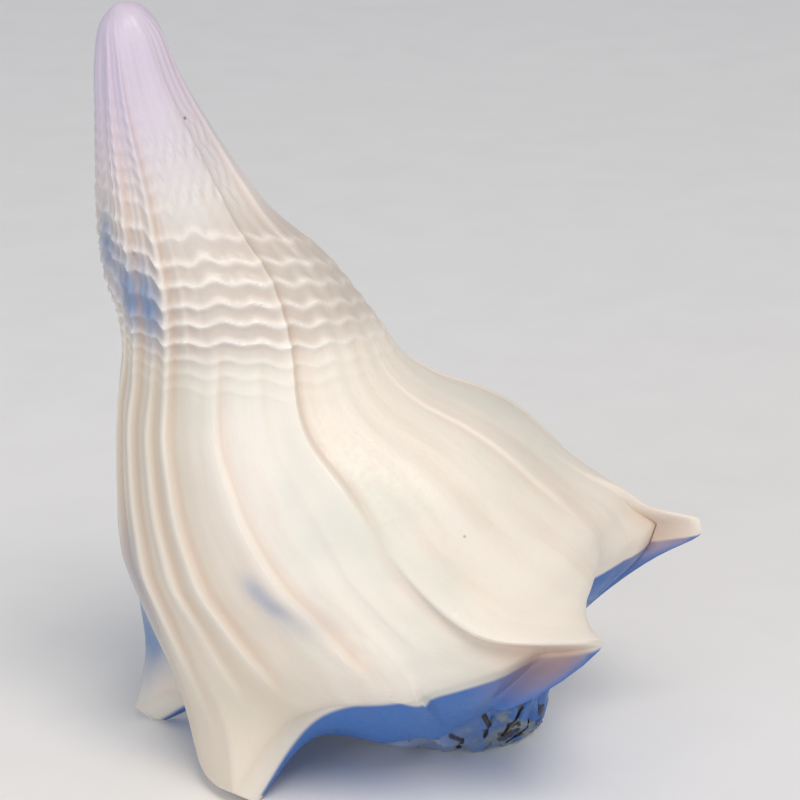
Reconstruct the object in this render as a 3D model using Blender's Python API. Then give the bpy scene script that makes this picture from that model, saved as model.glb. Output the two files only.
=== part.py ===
"""A left-handed spined conch shell, standing on its worn spire and two of its spines."""

import math

import bmesh
import bpy
import numpy as np

MM = 0.001

# Sizes in millimetres, in the shell's own frame: x and y across the coiling axis,
# z along it, with z = 0 at the level of the newest shoulder and the canal above.
APEX_Z = -80.0
SHOULDER_Q = 88.0
BAND_Q = 91.5
CANAL_Q = 241.0
GROUND_Z = -33.4

# How fast the coil grows in one turn, outward and along the axis.
GROWTH_OUT = 1.80
GROWTH_ALONG = 1.40
NEWEST_DEG = 188.0
OLD_DEG = -8.0
LIP_DEG = 224.0
OLD_LINE = LIP_DEG - 360.0
SPIRE_TURNS = 3
SPIRE_END_Z = -46.0

# Half widths of the last turn: height q above the apex, reach to the old side,
# reach to the new side, and where the middle of that section lies.
BODY_PROFILE = (
    (88.0, 37.0, 47.5),
    (92.0, 42.5, 54.0),
    (97.0, 46.5, 56.3),
    (104.0, 48.5, 57.3),
    (114.0, 46.0, 56.8),
    (124.0, 43.0, 55.5),
    (134.0, 39.5, 51.0),
    (144.0, 34.0, 46.0),
    (155.0, 26.0, 40.5),
    (166.0, 21.4, 34.5),
    (177.0, 19.8, 31.0),
    (189.0, 16.4, 28.5),
    (201.0, 9.0, 24.5),
    (212.0, 6.5, 19.5),
    (223.0, 5.5, 14.0),
    (232.0, 6.2, 9.5),
    (238.5, 4.4, 5.2),
)
TIP_X = -0.2

# Wall and hollow.
WALL = 2.9
HOLLOW_TURN_DEG = 310.0
CAVITY_TOP_Q = 234.5
HOLLOW_PAST_LIP_DEG = 30.0

# Resting pose: lean of the axis to the left and toward the front.
ROLL_DEG = 26.4
PITCH_DEG = 24.0
VIEW_DEG = 20.0

# Spines of the last turn: angle, reach, droop toward the apex, width before the tip, how
# far and how high the newer shell fills the groove behind the tip, the share of the ramp
# that the spine takes up, and how far its tip leans back toward the older shell.
SPINES = (
    (-95.0, 17.0, 8.0, 15.0, 9.0, 0.4, 0.36, 0.0),
    (-42.0, 20.0, 7.0, 15.0, 9.0, 0.4, 0.36, 0.0),
    (12.0, 28.8, 5.0, 15.0, 11.0, 0.6, 0.46, 0.0),
    (84.0, 21.9, 1.7, 32.0, 8.0, 0.3, 0.46, 24.0),
    (109.0, 3.5, 2.0, 11.0, 9.0, 0.9, 0.36, 0.0),
    (157.3, 18.3, 15.6, 9.5, 24.0, 1.0, 0.27, 0.0),
    (199.4, 24.2, 13.3, 12.0, 10.0, 0.5, 0.29, 0.0),
)

# Knobs of the spire's turn before: angle and height.
KNOBS = ((-201.0, 4.5), (-226.0, 6.5), (-249.0, 7.0), (-291.0, 3.0), (-333.0, 3.0), (-378.0, 3.0), (-423.0, 3.0), (-468.0, 3.0))

# Worn pits of the spire: angle, share of the ramp, depth.
PITS = (
    (66.0, 0.2, 1.5),
    (88.0, 0.1, 1.2),
    (-276.0, 0.5, 1.6),
    (-292.0, 0.85, 1.2),
    (-304.0, 0.45, 1.7),
    (-322.0, 0.6, 1.3),
)

# Growth folds: angle, height, fade below q, fade above q, and the side their step
# faces: 1 toward the older shell, -1 toward the newer.
FOLDS = (
    (-70.0, 1.2, 90.0, 176.0, -1),
    (-14.0, 1.0, 90.0, 176.0, -1),
    (34.0, 0.9, 108.0, 160.0, -1),
    (57.0, 0.8, 190.0, 222.0, -1),
    (84.0, 1.6, 90.0, 124.0, -1),
    (85.5, 1.0, 132.0, 220.0, 1),
    (119.5, 1.4, 96.0, 176.0, 1),
    (142.5, 1.1, 96.0, 230.0, 1),
    (151.5, 1.0, 96.0, 174.0, 1),
    (163.0, 1.1, 96.0, 230.0, 1),
    (178.0, 1.1, 96.0, 176.0, 1),
)

# How strongly the ramp sags below a straight cone, on older and on the newest shell, and
# its rows, as shares of the way from the suture to the shoulder edge.
RAMP_SAG = (1.2, 2.2)
RAMP_ROWS = (0.2, 0.55, 0.84, 1.0)


def smooth_step(low, high, value):
    """Zero below low, one above high, and an even curve between."""
    share = np.clip((value - low) / (high - low), 0.0, 1.0)
    return share * share * (3.0 - 2.0 * share)


def through_points(value, xs, ys):
    """Monotone cubic curve through the points (xs, ys)."""
    step = np.diff(xs)
    slope = np.diff(ys) / step
    lean = np.zeros(len(xs))
    lean[0] = slope[0]
    lean[-1] = slope[-1]
    for index in range(1, len(xs) - 1):
        before, after = slope[index - 1], slope[index]
        if before * after > 0.0:
            first = 2.0 * step[index] + step[index - 1]
            second = step[index] + 2.0 * step[index - 1]
            lean[index] = (first + second) / (first / before + second / after)
    value = np.clip(value, xs[0], xs[-1])
    place = np.clip(np.searchsorted(xs, value) - 1, 0, len(xs) - 2)
    t = (value - xs[place]) / step[place]
    rise = (1.0 + 2.0 * t) * (1.0 - t) ** 2 * ys[place] + t * t * (3.0 - 2.0 * t) * ys[place + 1]
    bend = t * (1.0 - t) ** 2 * lean[place] + t * t * (t - 1.0) * lean[place + 1]
    return rise + bend * step[place]


PROFILE = np.array(BODY_PROFILE + ((CANAL_Q, 0.4 + TIP_X, 0.4 - TIP_X),))


def spread(q):
    """How far the outward growth still acts at height q: all of it below, little at the canal."""
    return 1.0 - 0.72 * smooth_step(136.0, 216.0, q)


def along(q):
    """How far the growth along the axis still acts at height q."""
    return 1.0 - smooth_step(166.0, 231.0, q)


def section(q):
    """Old-side radius, new-to-old ratio and middle of the section at height q."""
    old_reach = through_points(q, PROFILE[:, 0], PROFILE[:, 1])
    new_reach = through_points(q, PROFILE[:, 0], PROFILE[:, 2])
    turn = (NEWEST_DEG - OLD_DEG) / 360.0
    ratio = GROWTH_OUT ** (turn * spread(q))
    old_radius = (old_reach + new_reach) / (1.0 + ratio)
    return old_radius, ratio, old_reach - old_radius


def plain(angle, q):
    """Radius, height and middle of the unadorned shell at a total angle and a height q."""
    old_radius, ratio, middle = section(q)
    radius = old_radius * ratio ** ((angle - OLD_DEG) / (NEWEST_DEG - OLD_DEG))
    height = APEX_Z + GROWTH_ALONG ** ((angle - NEWEST_DEG) / 360.0 * along(q)) * q
    return radius, height, middle


def size_at(angle):
    """Size of the ornament on older turns against that of the last one."""
    return GROWTH_OUT ** (np.minimum(angle - (LIP_DEG - 360.0), 0.0) / 360.0)


def lag(line, q):
    """How far round a growth line at height q lies from its end on the shoulder edge."""
    low = 9.0 * (1.0 - np.exp(-(((q - SHOULDER_Q) / 30.0) ** 2)))
    swing = 8.0 * smooth_step(92.0, 116.0, line) * (1.0 - smooth_step(116.0, 146.0, q))
    return low - swing - 38.0 * smooth_step(156.0, 213.0, q)


EDGE_AT = np.array([-90.0, 0.0, 0.8, 1.8, 3.2, 4.6, 8.0, 13.0, 22.0, 90.0])


def spine_height(x, width, fill, share):
    """Rise toward the spine's open edge, then the drop into its groove as far as it is filled."""
    back = np.abs(np.minimum(x, 0.0)) / width
    before = 0.72 * np.exp(-((back / 0.55) ** 1.2)) + 0.28 * np.exp(-((back / 1.3) ** 2))
    after = np.interp(x, EDGE_AT, [1, 1, 0.95, 0.62, 0.45, 0.42, 0.38, 0.22, 0.0, 0.0])
    filled = share * np.exp(-((np.maximum(x, 0.0) / fill) ** 3))
    return np.where(x < 0.0, before, np.maximum(after, filled))


def groove_back(x):
    """How far the groove reaches back under the edge."""
    return np.interp(x, EDGE_AT, [0, 0, 0.02, 0.55, 1.0, 0.9, 0.4, 0.1, 0.0, 0.0])


def older_knobs():
    """The worn knobs of the spire, a turn and two turns back, written as low spines."""
    knobs = []
    for turn in (1, 2):
        for at, rise in KNOBS:
            knobs.append((at - 360.0 * (turn - 1), rise / turn, 0.0, 10.0, 9.0, 1.0, 0.36, 0.0))
    return tuple(knobs)


def pit_depth(line, share):
    """Depth of the worn pits at a place on the ramp."""
    depth = np.zeros(np.broadcast(line, share).shape)
    for at, middle, deep in PITS:
        depth += deep * np.exp(-(((line - at) / 5.5) ** 2) - ((share - middle) / 0.2) ** 2)
    return depth


def adorned(line, q, down):
    """Extra radius, extra height and shift in angle of spines and folds.

    line is the growth line and down the share of the way from the shoulder edge to the suture."""
    line, q, down = np.broadcast_arrays(line, q, down)
    on_body = down <= 0.0
    out = np.zeros(line.shape)
    drop = np.zeros(line.shape)
    shift = np.zeros(line.shape)
    from_edge = q - SHOULDER_Q
    wide = 0.62 * np.exp(-((from_edge / 7.0) ** 2)) + 0.38 * np.exp(-((from_edge / 18.0) ** 2))
    mouth = np.where(on_body, np.exp(-((from_edge / 11.0) ** 2)), np.exp(-((down / 0.2) ** 2)))
    size = size_at(line)
    for at, reach, droop, width, fill, share, ramp, lean in SPINES + older_knobs():
        x = line - at
        height = spine_height(x, width, fill, share)
        across = np.where(on_body, wide, np.exp(-((down / ramp) ** 2)))
        out += size * reach * across * height
        drop -= droop * mouth * height
        shift -= 9.0 * (1.0 - share) * (reach / 20.0) * mouth * groove_back(x)
        shift -= lean * np.where(on_body, np.exp(-((from_edge / 10.0) ** 2)), mouth) * height
    for at, rise, low, high, facing in FOLDS:
        x = (line - at) * -facing
        crest = np.where(x < 0.0, np.exp(-((x / 9.0) ** 2)), np.interp(x, [0.0, 1.6, 4.0], [1.0, 0.12, 0.0]))
        fade = smooth_step(low - 6.0, low + 14.0, q) * (1.0 - smooth_step(high - 25.0, high + 15.0, q))
        out += rise * crest * fade * on_body
    return out, drop, shift


def to_points(radius, height, angle, middle):
    """Points of the shell's own frame from cylinder values."""
    turn = np.radians(angle)
    radius, height, turn, middle = np.broadcast_arrays(radius, height, turn, middle)
    return np.stack([radius * np.cos(turn) + middle, radius * np.sin(turn), height], -1)


def body_points(line, q):
    """Outer surface along growth lines, from the shoulder edge to the canal."""
    line, q = np.broadcast_arrays(line, q)
    angle = line + lag(line, q)
    radius, height, middle = plain(angle, q)
    out, drop, shift = adorned(line, q, 0.0)
    return to_points(radius + out, height + drop, angle + shift, middle)


def ramp_points(line, share):
    """Outer surface between the suture (share 0) and the shoulder edge (share 1)."""
    line, share = np.broadcast_arrays(line, share)
    low_angle = line - 360.0 + lag(line - 360.0, BAND_Q)
    high_angle = line + lag(line, SHOULDER_Q)
    low = plain(low_angle, BAND_Q)
    high = plain(high_angle, SHOULDER_Q)
    out, drop, shift = adorned(line, SHOULDER_Q, 1.0 - share + 1e-6)
    band_out, band_drop, band_shift = adorned(line - 360.0, BAND_Q, 0.0)
    left = (1.0 - share) ** 3
    radius = low[0] + (high[0] - low[0]) * share + out + band_out * left - pit_depth(line, share)
    sag = RAMP_SAG[0] + (RAMP_SAG[1] - RAMP_SAG[0]) * smooth_step(60.0, 125.0, line)
    height = low[1] + (high[1] - low[1]) * share**sag + drop + band_drop * left
    middle = low[2] + (high[2] - low[2]) * share
    angle = low_angle + 360.0 + (high_angle - low_angle - 360.0) * share
    return to_points(radius, height, angle + shift + band_shift * left, middle)


def posed(points):
    """The shell's own frame turned to the resting pose, in millimetres, z up."""
    roll, pitch, view = (math.radians(v) for v in (ROLL_DEG, PITCH_DEG, VIEW_DEG))
    side = (math.cos(roll), math.sin(roll), 0.0)
    front = (math.sin(roll) * math.sin(pitch), -math.cos(roll) * math.sin(pitch), math.cos(pitch))
    up = (-math.sin(roll) * math.cos(pitch), math.cos(roll) * math.cos(pitch), math.sin(pitch))
    seen = points @ np.array([side, front, up])
    tilt = np.array(
        [
            (1.0, 0.0, 0.0),
            (0.0, math.sin(view), math.cos(view)),
            (0.0, -math.cos(view), math.sin(view)),
        ]
    )
    return seen @ tilt


def growth_lines(spacing, around_spine, around_fold):
    """Growth lines of one turn: close together at spines and folds, evenly spread elsewhere."""
    marks = {OLD_LINE, LIP_DEG}
    for at, *_ in SPINES:
        marks.update(at + step for step in around_spine)
    for at, *_, facing in FOLDS:
        marks.update(at - facing * step for step in around_fold)
    kept = [OLD_LINE]
    for mark in sorted(marks):
        if mark - kept[-1] > 0.45 and mark < LIP_DEG - 0.45:
            kept.append(mark)
    kept.append(LIP_DEG)
    lines = [kept[0]]
    for start, end in zip(kept, kept[1:]):
        parts = max(1, math.ceil((end - start) / spacing))
        lines += [start + (end - start) * number / parts for number in range(1, parts + 1)]
    return np.array(lines)


def shell_skin(lines, shares, heights):
    """Vertices and faces of the closed outer surface, before it is hollowed.

    lines are the growth lines of one turn, shares the rows of the ramp and heights those of the body."""
    count = len(lines) - 1
    older = [lines[:-1] - 360.0 * turn for turn in range(SPIRE_TURNS - 1, -1, -1)]
    all_lines = np.concatenate(older + [lines[-1:]])
    total = len(all_lines)
    shares = np.asarray(shares)
    ramp = ramp_points(all_lines[:, None], shares[None, :])
    band = body_points(all_lines, BAND_Q)
    inner = body_points(all_lines[:count] - 360.0, BAND_Q)
    newest = all_lines[total - count - 1 :]
    body = body_points(newest[:, None], np.asarray(heights)[None, :])
    rows = len(shares)
    points = [ramp.reshape(-1, 3), band, inner, body.reshape(-1, 3)]
    band_from = total * rows
    inner_from = band_from + total
    body_from = inner_from + count
    tip = body_from + body.shape[0] * body.shape[1]
    end = tip + 1
    points.append(np.array([(TIP_X, 0.0, APEX_Z + CANAL_Q), (0.0, 0.0, SPIRE_END_Z)]))

    def low_edge(column):
        return inner_from + column if column < count else band_from + column - count

    def strip_column(column):
        ramp_rows = [column * rows + row for row in range(rows)]
        return [low_edge(column)] + ramp_rows + [band_from + column]

    def body_column(column):
        start = body_from + (column - (total - count - 1)) * len(heights)
        return [band_from + column] + [start + row for row in range(len(heights))] + [tip]

    faces = []

    def fill(left, right):
        for row in range(len(left) - 1):
            corners = [left[row], right[row], right[row + 1], left[row + 1]]
            corners = [c for n, c in enumerate(corners) if c != corners[n - 1]]
            if len(corners) > 2:
                faces.append(tuple(corners))

    for column in range(total - 1):
        fill(strip_column(column), strip_column(column + 1))
    for column in range(total - count - 1, total - 1):
        fill(body_column(column), body_column(column + 1))
    fill(body_column(total - 1), body_column(total - count - 1))
    lip = strip_column(total - 1)
    for row in range(1, len(lip) - 1):
        faces.append((lip[0], lip[row + 1], lip[row]))
    rim = [low_edge(column) for column in range(count + 1)] + strip_column(0)[-2:0:-1]
    for number, corner in enumerate(rim):
        faces.append((end, rim[(number + 1) % len(rim)], corner))
    return np.concatenate(points), faces


def hollow_loop(line, number):
    """One section of the hollow between the last turn's wall and the turn before it."""
    back = LIP_DEG - line
    top = CAVITY_TOP_Q - (CAVITY_TOP_Q - 158.0) * smooth_step(45.0, 150.0, back)
    share = np.linspace(0.0, 1.0, number)
    outer_q = 93.0 + (top - 93.0) * share
    outer_angle = line + lag(line, outer_q)
    radius, height, middle = plain(outer_angle, outer_q)
    outer = radius - WALL - 2.0 * (1.0 - smooth_step(0.0, 0.12, share))
    inner_q = 103.0 + (top - 103.0) * share
    inner_angle = line + lag(line, inner_q)
    inner_radius, inner_height, inner_middle = plain(inner_angle - 360.0, inner_q)
    near_lip = smooth_step(25.0, 0.0, back)
    rod = 0.30 + 0.70 * (1.0 - smooth_step(130.0, 176.0, inner_q))
    inner = inner_radius * rod - 0.6
    inner = inner + (1.0 - near_lip) * 1.2
    past = np.maximum(-back, 0.0)
    open_out = smooth_step(0.0, 4.0, past)
    outer = outer + open_out * (WALL + 3.0)
    outer_points = to_points(outer, height, outer_angle, middle)
    inner_points = to_points(np.maximum(inner, 1.0), inner_height, inner_angle, inner_middle)
    narrow = 0.3 + 0.7 * math.sqrt(smooth_step(0.0, 60.0, HOLLOW_TURN_DEG - back))
    mean = 0.5 * (outer_points + inner_points)
    loop = np.concatenate([outer_points, inner_points[::-1]])
    return np.concatenate([mean, mean[::-1]]) * (1.0 - narrow) + loop * narrow


def hollow_skin(sections, number):
    """Vertices and faces of the closed solid that is cut away to hollow the shell."""
    first = LIP_DEG - HOLLOW_TURN_DEG
    last = LIP_DEG + HOLLOW_PAST_LIP_DEG
    lines = np.concatenate([np.linspace(first, LIP_DEG, sections), LIP_DEG + np.array([1.5, 4.0, 12.0, 30.0])])
    loops = [hollow_loop(line, number) for line in lines if line <= last]
    size = len(loops[0])
    faces = []
    for loop in range(len(loops) - 1):
        for corner in range(size):
            following = (corner + 1) % size
            here, there = loop * size, (loop + 1) * size
            faces.append((here + corner, here + following, there + following, there + corner))
    end = (len(loops) - 1) * size
    for corner in range(size // 2 - 1):
        across = size - 1 - corner
        faces.append((corner, corner + 1, across - 1, across)[::-1])
        faces.append((end + corner, end + corner + 1, end + across - 1, end + across))
    return np.concatenate(loops), faces


def clear_scene():
    """Remove the objects of the scene."""
    for item in list(bpy.data.objects):
        bpy.data.objects.remove(item, do_unlink=True)


def new_collection(name, helper=False):
    """A collection linked to the scene; a helper one stays out of renders."""
    group = bpy.data.collections.new(name)
    bpy.context.scene.collection.children.link(group)
    group.hide_render = helper
    return group


def new_mesh_object(name, points, faces, group):
    """An object in metres from points in millimetres, its faces turned outward."""
    mesh = bpy.data.meshes.new(name)
    mesh.from_pydata((np.asarray(points) * MM).tolist(), [], faces)
    mesh.validate()
    work = bmesh.new()
    work.from_mesh(mesh)
    bmesh.ops.triangulate(work, faces=work.faces)
    bmesh.ops.recalc_face_normals(work, faces=work.faces)
    work.to_mesh(mesh)
    work.free()
    item = bpy.data.objects.new(name, mesh)
    group.objects.link(item)
    return item


def box_skin(low, high):
    """Vertices and faces of a box between two corners."""
    points = [(x, y, z) for x in (low[0], high[0]) for y in (low[1], high[1]) for z in (low[2], high[2])]
    faces = [(0, 1, 3, 2), (4, 6, 7, 5), (0, 4, 5, 1), (2, 3, 7, 6), (0, 2, 6, 4), (1, 5, 7, 3)]
    return np.array(points), faces


def cut(item, cutter, name):
    """Take the cutter's volume out of the item."""
    modifier = item.modifiers.new(name, "BOOLEAN")
    modifier.operation = "DIFFERENCE"
    modifier.solver = "EXACT"
    modifier.object = cutter
    cutter.display_type = "WIRE"
    cutter.hide_render = True


def shell_material():
    """Bleached shell: warm off-white with a low sheen."""
    material = bpy.data.materials.new("bleached shell")
    material.use_nodes = True
    shader = material.node_tree.nodes["Principled BSDF"]
    shader.inputs["Base Color"].default_value = (0.79, 0.72, 0.62, 1.0)
    shader.inputs["Roughness"].default_value = 0.42
    return material


def main():
    """Build the shell and its two cutters."""
    clear_scene()
    shell_group = new_collection("conch_shell")
    cutters = new_collection("cutters", helper=True)
    lines = growth_lines(7.0, (-9.0, -4.0, 0.0, 0.8, 3.2, 9.0, 16.0), (-5.0, 0.0, 1.8))
    heights = 94.5 + (CANAL_Q - 94.5 - 1.2) * np.linspace(0.0, 1.0, 25) ** 0.97
    skin, faces = shell_skin(lines, RAMP_ROWS, heights)
    hollow, hollow_faces = hollow_skin(29, 15)
    skin = posed(skin)
    hollow = posed(hollow)
    middle = 0.5 * (skin.min(axis=0) + skin.max(axis=0))
    to_origin = np.array([middle[0], middle[1], GROUND_Z])
    shell = new_mesh_object("conch_shell", skin - to_origin, faces, shell_group)
    shell.data.materials.append(shell_material())
    hollow_cutter = new_mesh_object("hollow_cutter", hollow - to_origin, hollow_faces, cutters)
    block, block_faces = box_skin((-150.0, -150.0, -40.0), (150.0, 150.0, 0.0))
    ground_cutter = new_mesh_object("worn_flat_cutter", block, block_faces, cutters)
    cut(shell, hollow_cutter, "hollow")
    cut(shell, ground_cutter, "worn flats")
    shell.data.shade_smooth()
    shell.data.set_sharp_from_angle(angle=math.radians(38.0))


if __name__ == "__main__":
    main()
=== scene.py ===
"""A left-handed spined conch shell, sun-bleached, standing on its worn spire and two spines."""

import itertools
import math

import bmesh
import bpy
import numpy as np
from mathutils import Matrix


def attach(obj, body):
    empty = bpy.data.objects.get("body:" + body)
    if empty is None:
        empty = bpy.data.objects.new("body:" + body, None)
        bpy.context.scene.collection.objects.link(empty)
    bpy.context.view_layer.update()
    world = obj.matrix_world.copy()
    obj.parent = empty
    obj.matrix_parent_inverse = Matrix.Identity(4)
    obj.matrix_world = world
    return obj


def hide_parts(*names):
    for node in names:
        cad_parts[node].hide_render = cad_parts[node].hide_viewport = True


bl_info = {
    "name": "Spined conch shell",
    "version": (1, 0, 0),
    "blender": (4, 5, 0),
    "location": "3D View > Sidebar > Shell",
    "description": "Builds the fine surface of a left-handed conch shell and a plain studio for it",
    "category": "Add Mesh",
}

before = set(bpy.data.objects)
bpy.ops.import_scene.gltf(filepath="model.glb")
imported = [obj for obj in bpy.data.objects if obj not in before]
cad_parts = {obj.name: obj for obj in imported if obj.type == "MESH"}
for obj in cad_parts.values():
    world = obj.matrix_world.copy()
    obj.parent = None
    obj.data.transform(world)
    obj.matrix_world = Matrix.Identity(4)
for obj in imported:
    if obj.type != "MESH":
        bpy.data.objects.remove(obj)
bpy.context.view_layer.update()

MM = 0.001

# Shape of the shell, as in the part's source.

# Sizes in millimetres, in the shell's own frame: x and y across the coiling axis,
# z along it, with z = 0 at the level of the newest shoulder and the canal above.
APEX_Z = -80.0
SHOULDER_Q = 88.0
BAND_Q = 91.5
CANAL_Q = 241.0
GROUND_Z = -33.4

# How fast the coil grows in one turn, outward and along the axis.
GROWTH_OUT = 1.80
GROWTH_ALONG = 1.40
NEWEST_DEG = 188.0
OLD_DEG = -8.0
LIP_DEG = 224.0
OLD_LINE = LIP_DEG - 360.0
SPIRE_TURNS = 3
SPIRE_END_Z = -46.0

# Half widths of the last turn: height q above the apex, reach to the old side,
# reach to the new side, and where the middle of that section lies.
BODY_PROFILE = (
    (88.0, 37.0, 47.5),
    (92.0, 42.5, 54.0),
    (97.0, 46.5, 56.3),
    (104.0, 48.5, 57.3),
    (114.0, 46.0, 56.8),
    (124.0, 43.0, 55.5),
    (134.0, 39.5, 51.0),
    (144.0, 34.0, 46.0),
    (155.0, 26.0, 40.5),
    (166.0, 21.4, 34.5),
    (177.0, 19.8, 31.0),
    (189.0, 16.4, 28.5),
    (201.0, 9.0, 24.5),
    (212.0, 6.5, 19.5),
    (223.0, 5.5, 14.0),
    (232.0, 6.2, 9.5),
    (238.5, 4.4, 5.2),
)
TIP_X = -0.2

# Wall and hollow: how far it turns back from the lip, its lowest height on the outer and on the
# inner side, its top at the lip and far back, and how far its sections go on past the lip.
WALL = 2.9
HOLLOW_TURN_DEG = 310.0
CAVITY_LOW_OUTER_Q = 93.0
CAVITY_LOW_INNER_Q = 103.0
CAVITY_TOP_Q = 234.5
CAVITY_BACK_TOP_Q = 158.0
HOLLOW_PAST_LIP = (1.5, 4.0, 12.0, 30.0)
HOLLOW_SECTIONS = 72
HOLLOW_ROWS = 36

# Resting pose: lean of the axis to the left and toward the front, and the photograph's view
# from above.
ROLL_DEG = 26.4
PITCH_DEG = 24.0
VIEW_DEG = 20.0

# Where the posed shell's middle lies from the axis, so that it stands where the solid stands.
STAND_X = -3.011
STAND_Y = -3.078

# Spines of the last turn: angle, reach, droop toward the apex, width before the tip, how
# far and how high the newer shell fills the groove behind the tip, the share of the ramp
# that the spine takes up, and how far its tip leans back toward the older shell.
SPINES = (
    (-95.0, 17.0, 8.0, 15.0, 9.0, 0.4, 0.36, 0.0),
    (-42.0, 20.0, 7.0, 15.0, 9.0, 0.4, 0.36, 0.0),
    (12.0, 28.8, 5.0, 15.0, 11.0, 0.6, 0.46, 0.0),
    (84.0, 21.9, 1.7, 32.0, 8.0, 0.3, 0.46, 24.0),
    (109.0, 3.5, 2.0, 11.0, 9.0, 0.9, 0.36, 0.0),
    (157.3, 18.3, 15.6, 9.5, 24.0, 1.0, 0.27, 0.0),
    (199.4, 24.2, 13.3, 12.0, 10.0, 0.5, 0.29, 0.0),
)

# Knobs of the spire's turn before: angle and height.
KNOBS = (
    (-201.0, 4.5),
    (-226.0, 6.5),
    (-249.0, 7.0),
    (-291.0, 3.0),
    (-333.0, 3.0),
    (-378.0, 3.0),
    (-423.0, 3.0),
    (-468.0, 3.0),
)

# Worn pits of the spire: angle, share of the ramp, depth.
PITS = (
    (66.0, 0.2, 1.5),
    (88.0, 0.1, 1.2),
    (-276.0, 0.5, 1.6),
    (-292.0, 0.85, 1.2),
    (-304.0, 0.45, 1.7),
    (-322.0, 0.6, 1.3),
)

# Growth folds: angle, height, fade below q, fade above q, and the side their step
# faces: 1 toward the older shell, -1 toward the newer.
FOLDS = (
    (-70.0, 1.2, 90.0, 176.0, -1),
    (-14.0, 1.0, 90.0, 176.0, -1),
    (34.0, 0.9, 108.0, 160.0, -1),
    (57.0, 0.8, 190.0, 222.0, -1),
    (84.0, 1.6, 90.0, 124.0, -1),
    (85.5, 1.0, 132.0, 220.0, 1),
    (119.5, 1.4, 96.0, 176.0, 1),
    (142.5, 1.1, 96.0, 230.0, 1),
    (151.5, 1.0, 96.0, 174.0, 1),
    (163.0, 1.1, 96.0, 230.0, 1),
    (178.0, 1.1, 96.0, 176.0, 1),
)

# How strongly the ramp sags below a straight cone, on older and on the newest shell, and the
# least share down it that still counts as ramp.
RAMP_SAG = (1.2, 2.2)
ON_RAMP = 1e-6

# Where growth lines lie, in degrees from a spine and from a fold, how close two may come, and
# the rows of the ramp with the share where the first one lies.
AROUND_SPINE = (-9.0, -6.0, -4.0, -2.0, -0.8, 0.0, 0.5, 1.0, 1.6, 2.2, 3.2, 4.2, 6.0, 9.0, 16.0)
AROUND_FOLD = (-5.0, -2.0, -0.7, 0.0, 0.8, 1.8, 3.0)
LEAST_LINE_GAP = 0.45
RAMP_ROWS = 20
RAMP_FIRST_SHARE = 0.03


def smooth_step(low, high, value):
    """Zero below low, one above high, and an even curve between."""
    share = np.clip((value - low) / (high - low), 0.0, 1.0)
    return share * share * (3.0 - 2.0 * share)


def window(value, rise_from, rise_to, fall_from, fall_to):
    """One inside a window and zero outside it, with an even curve at each side."""
    return smooth_step(rise_from, rise_to, value) * (1.0 - smooth_step(fall_from, fall_to, value))


def through_points(value, xs, ys):
    """Monotone cubic curve through the points (xs, ys)."""
    step = np.diff(xs)
    slope = np.diff(ys) / step
    lean = np.zeros(len(xs))
    lean[0] = slope[0]
    lean[-1] = slope[-1]
    for index in range(1, len(xs) - 1):
        before, after = slope[index - 1], slope[index]
        if before * after > 0.0:
            first = 2.0 * step[index] + step[index - 1]
            second = step[index] + 2.0 * step[index - 1]
            lean[index] = (first + second) / (first / before + second / after)
    value = np.clip(value, xs[0], xs[-1])
    place = np.clip(np.searchsorted(xs, value) - 1, 0, len(xs) - 2)
    t = (value - xs[place]) / step[place]
    rise = (1.0 + 2.0 * t) * (1.0 - t) ** 2 * ys[place] + t * t * (3.0 - 2.0 * t) * ys[place + 1]
    bend = t * (1.0 - t) ** 2 * lean[place] + t * t * (t - 1.0) * lean[place + 1]
    return rise + bend * step[place]


PROFILE = np.array(BODY_PROFILE + ((CANAL_Q, 0.4 + TIP_X, 0.4 - TIP_X),))


def spread(q):
    """How far the outward growth still acts at height q: all of it below, little at the canal."""
    return 1.0 - 0.72 * smooth_step(136.0, 216.0, q)


def along(q):
    """How far the growth along the axis still acts at height q."""
    return 1.0 - smooth_step(166.0, 231.0, q)


def section(q):
    """Old-side radius, new-to-old ratio and middle of the section at height q."""
    old_reach = through_points(q, PROFILE[:, 0], PROFILE[:, 1])
    new_reach = through_points(q, PROFILE[:, 0], PROFILE[:, 2])
    turn = (NEWEST_DEG - OLD_DEG) / 360.0
    ratio = GROWTH_OUT ** (turn * spread(q))
    old_radius = (old_reach + new_reach) / (1.0 + ratio)
    return old_radius, ratio, old_reach - old_radius


def plain(angle, q):
    """Radius, height and middle of the unadorned shell at a total angle and a height q."""
    old_radius, ratio, middle = section(q)
    radius = old_radius * ratio ** ((angle - OLD_DEG) / (NEWEST_DEG - OLD_DEG))
    height = APEX_Z + GROWTH_ALONG ** ((angle - NEWEST_DEG) / 360.0 * along(q)) * q
    return radius, height, middle


def size_at(angle):
    """Size of the ornament on older turns against that of the last one."""
    return GROWTH_OUT ** (np.minimum(angle - OLD_LINE, 0.0) / 360.0)


def lag(line, q):
    """How far round a growth line at height q lies from its end on the shoulder edge."""
    low = 9.0 * (1.0 - np.exp(-(((q - SHOULDER_Q) / 30.0) ** 2)))
    swing = 8.0 * smooth_step(92.0, 116.0, line) * (1.0 - smooth_step(116.0, 146.0, q))
    return low - swing - 38.0 * smooth_step(156.0, 213.0, q)


EDGE_AT = np.array([-90.0, 0.0, 0.8, 1.8, 3.2, 4.6, 8.0, 13.0, 22.0, 90.0])


def spine_height(x, width, fill, share):
    """Rise toward the spine's open edge, then the drop into its groove as far as it is filled."""
    back = np.abs(np.minimum(x, 0.0)) / width
    before = 0.72 * np.exp(-((back / 0.55) ** 1.2)) + 0.28 * np.exp(-((back / 1.3) ** 2))
    after = np.interp(x, EDGE_AT, [1, 1, 0.95, 0.62, 0.45, 0.42, 0.38, 0.22, 0.0, 0.0])
    filled = share * np.exp(-((np.maximum(x, 0.0) / fill) ** 3))
    return np.where(x < 0.0, before, np.maximum(after, filled))


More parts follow.
